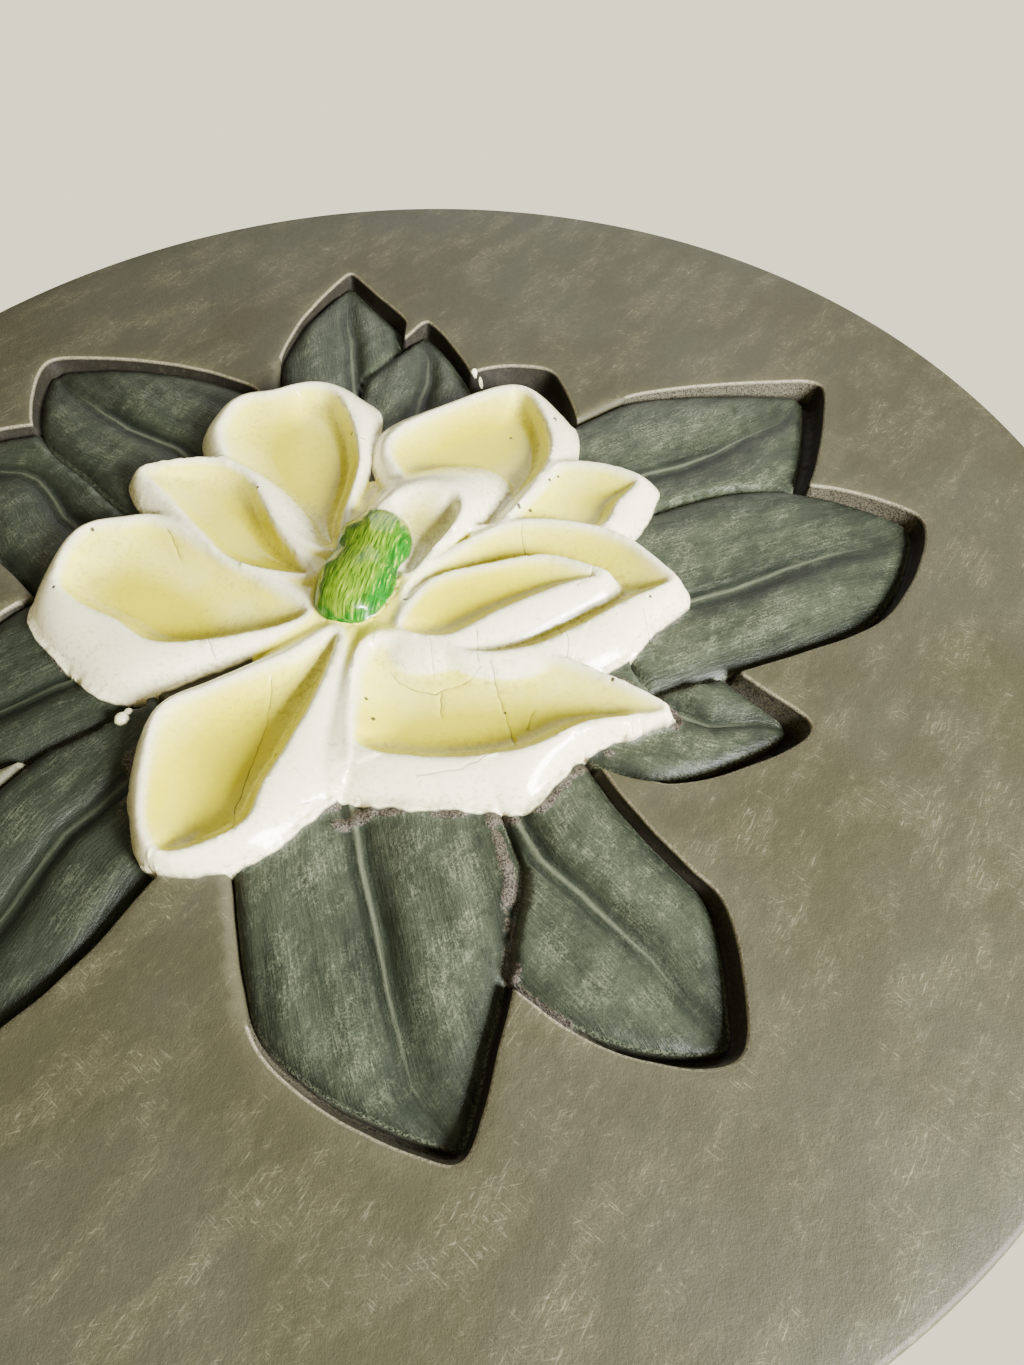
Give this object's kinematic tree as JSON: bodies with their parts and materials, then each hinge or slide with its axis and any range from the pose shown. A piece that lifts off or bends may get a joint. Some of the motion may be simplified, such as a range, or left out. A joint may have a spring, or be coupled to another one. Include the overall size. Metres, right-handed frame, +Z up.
{
  "type": "wall plaque",
  "caption": "Round cast wall plaque with a flat face, sunk leaves and a magnolia in high relief, flat at the back to hang against a wall.",
  "frame": {"origin": "centre of the plaque's flat back face", "axes": "+Z up as it hangs, face towards -Y, +X to the right of someone who looks at the face"},
  "size_m": [0.305, 0.0316, 0.305],
  "materials": {
    "painted_stone": "matt olive-grey face and dark green leaves, with the flower in glossy white and yellow enamel"
  },
  "bodies": {
    "root": {"plaque": "painted_stone"}
  },
  "joints": []
}
